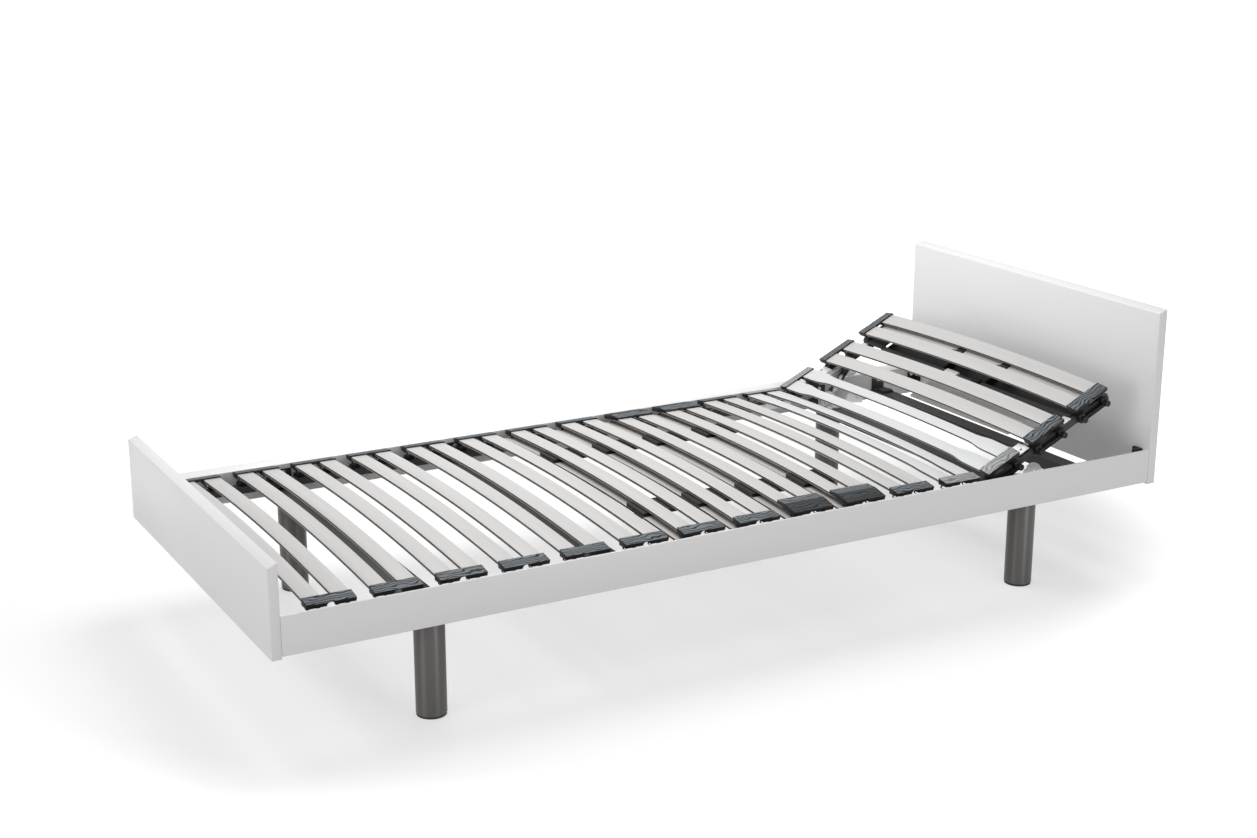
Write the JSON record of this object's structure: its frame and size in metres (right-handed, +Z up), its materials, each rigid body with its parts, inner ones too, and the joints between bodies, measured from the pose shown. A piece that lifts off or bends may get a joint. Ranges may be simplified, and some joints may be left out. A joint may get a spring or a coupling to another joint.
{
  "type": "adjustable bed base",
  "caption": "Single bed base with a panelled surround on round steel legs, bowed wooden slats in rubber caps and a head section raised by ratchet arms",
  "frame": {"origin": "on the floor, under the middle of the overall box", "axes": "+X along the bed to the head end, +Y to the left as seen from the foot end looking to the head, +Z up"},
  "size_m": [2.07, 0.883, 0.6],
  "materials": {
    "lacquer": "satin light grey lacquer",
    "leg_steel": "satin dark grey paint",
    "dark_steel": "satin black powder coat",
    "zinc": "zinc plated",
    "slat_wood": "silver-grey laminated veneer",
    "under_wood": "grey-brown laminated veneer",
    "cap_dark": "embossed dark blue-grey",
    "cap_grey": "embossed mid grey",
    "black_plastic": "matte black",
    "grey_plastic": "matte grey",
    "pad_rubber": "matte black"
  },
  "bodies": {
    "base": {"footboard": "lacquer", "headboard": "lacquer", "side_rail_right": "lacquer", "side_rail_left": "lacquer", "corner_brackets": "black_plastic", "bracket_screws": "zinc", "legs": "leg_steel", "leg_pads": "pad_rubber", "leg_beams": "dark_steel", "cross_bars": "dark_steel", "bar_pads": "pad_rubber", "angle_brackets": "dark_steel", "frame_sides": "dark_steel", "hinge_plates": "zinc", "hinge_bolts": "zinc", "ratchet_brackets": "zinc", "ratchet_discs": "zinc", "arm_pivots": "zinc", "under_slats": "under_wood", "suspension_fixed": "black_plastic", "flat_caps": "cap_dark", "shoulder_caps": "cap_dark", "hinge_caps_fixed": "cap_grey", "slat_pair_01": "slat_wood", "slat_pair_02": "slat_wood", "slat_pair_03": "slat_wood", "slat_pair_04": "slat_wood", "slat_pair_05": "slat_wood", "slat_pair_06": "slat_wood", "slat_pair_07": "slat_wood", "slat_pair_08": "slat_wood", "slat_pair_09": "slat_wood", "slat_pair_10": "slat_wood", "slat_pair_11": "slat_wood", "slat_pair_12": "slat_wood"},
    "head_section": {"head_sides": "dark_steel", "head_channel": "dark_steel", "head_clips": "black_plastic", "channel_plates": "dark_steel", "support_plate": "grey_plastic", "guide_rails": "zinc", "head_under_slats": "under_wood", "suspension_head": "black_plastic", "hinge_caps_head": "cap_grey", "head_caps": "cap_dark", "slat_pair_13": "slat_wood", "slat_pair_14": "slat_wood", "slat_pair_15": "slat_wood"},
    "lift_arm_right": {"lift_arm_right": "dark_steel"},
    "pawl_right": {"pawl_right": "zinc"},
    "lift_arm_left": {"lift_arm_left": "dark_steel"},
    "pawl_left": {"pawl_left": "zinc"},
    "slider_07_right": {"slider_07_right": "black_plastic"},
    "slider_07_left": {"slider_07_left": "black_plastic"},
    "slider_08_right": {"slider_08_right": "black_plastic"},
    "slider_08_left": {"slider_08_left": "black_plastic"},
    "slider_09_right": {"slider_09_right": "black_plastic"},
    "slider_09_left": {"slider_09_left": "black_plastic"},
    "slider_10_right": {"slider_10_right": "black_plastic"},
    "slider_10_left": {"slider_10_left": "black_plastic"}
  },
  "joints": [
    {"name": "head_tilt", "type": "hinge", "parent": "base", "child": "head_section", "pos_m": [0.58591, 0, 0.243], "axis": [0, -1, 0], "range_deg": [-25.2, 18.8]},
    {"name": "arm_turn_right", "type": "hinge", "parent": "base", "child": "lift_arm_right", "pos_m": [0.68592, -0.3515, 0.243], "axis": [0, -1, 0], "range_deg": [-50.5, 37.7]},
    {"name": "arm_turn_left", "type": "hinge", "parent": "base", "child": "lift_arm_left", "pos_m": [0.68592, 0.3515, 0.243], "axis": [0, -1, 0], "range_deg": [-50.5, 37.7]},
    {"name": "pawl_turn_right", "type": "hinge", "parent": "lift_arm_right", "child": "pawl_right", "pos_m": [0.71779, -0.345, 0.28153], "axis": [0, -1, 0], "range_deg": [0, 10], "stiffness_Nm_per_rad": 0.02},
    {"name": "pawl_turn_left", "type": "hinge", "parent": "lift_arm_left", "child": "pawl_left", "pos_m": [0.71779, 0.345, 0.28153], "axis": [0, -1, 0], "range_deg": [0, 10], "stiffness_Nm_per_rad": 0.02},
    {"name": "slide_07_right", "type": "slide", "parent": "base", "child": "slider_07_right", "axis": [0, -0.9992, -0.0395], "range_m": [-0.05, 0.05]},
    {"name": "slide_07_left", "type": "slide", "parent": "base", "child": "slider_07_left", "axis": [0, 0.9996, -0.0272], "range_m": [-0.05, 0.05]},
    {"name": "slide_08_right", "type": "slide", "parent": "base", "child": "slider_08_right", "axis": [0, -0.9992, -0.0395], "range_m": [-0.05, 0.05]},
    {"name": "slide_08_left", "type": "slide", "parent": "base", "child": "slider_08_left", "axis": [0, 0.9996, -0.0272], "range_m": [-0.05, 0.05]},
    {"name": "slide_09_right", "type": "slide", "parent": "base", "child": "slider_09_right", "axis": [0, -0.9992, -0.0395], "range_m": [-0.05, 0.05]},
    {"name": "slide_09_left", "type": "slide", "parent": "base", "child": "slider_09_left", "axis": [0, 0.9996, -0.0272], "range_m": [-0.05, 0.05]},
    {"name": "slide_10_right", "type": "slide", "parent": "base", "child": "slider_10_right", "axis": [0, -0.9992, -0.0395], "range_m": [-0.05, 0.05]},
    {"name": "slide_10_left", "type": "slide", "parent": "base", "child": "slider_10_left", "axis": [0, 0.9996, -0.0272], "range_m": [-0.05, 0.05]}
  ],
  "couplings": [
    {"joint": "arm_turn_right", "follows": "head_tilt", "ratio": 2},
    {"joint": "arm_turn_left", "follows": "head_tilt", "ratio": 2}
  ]
}
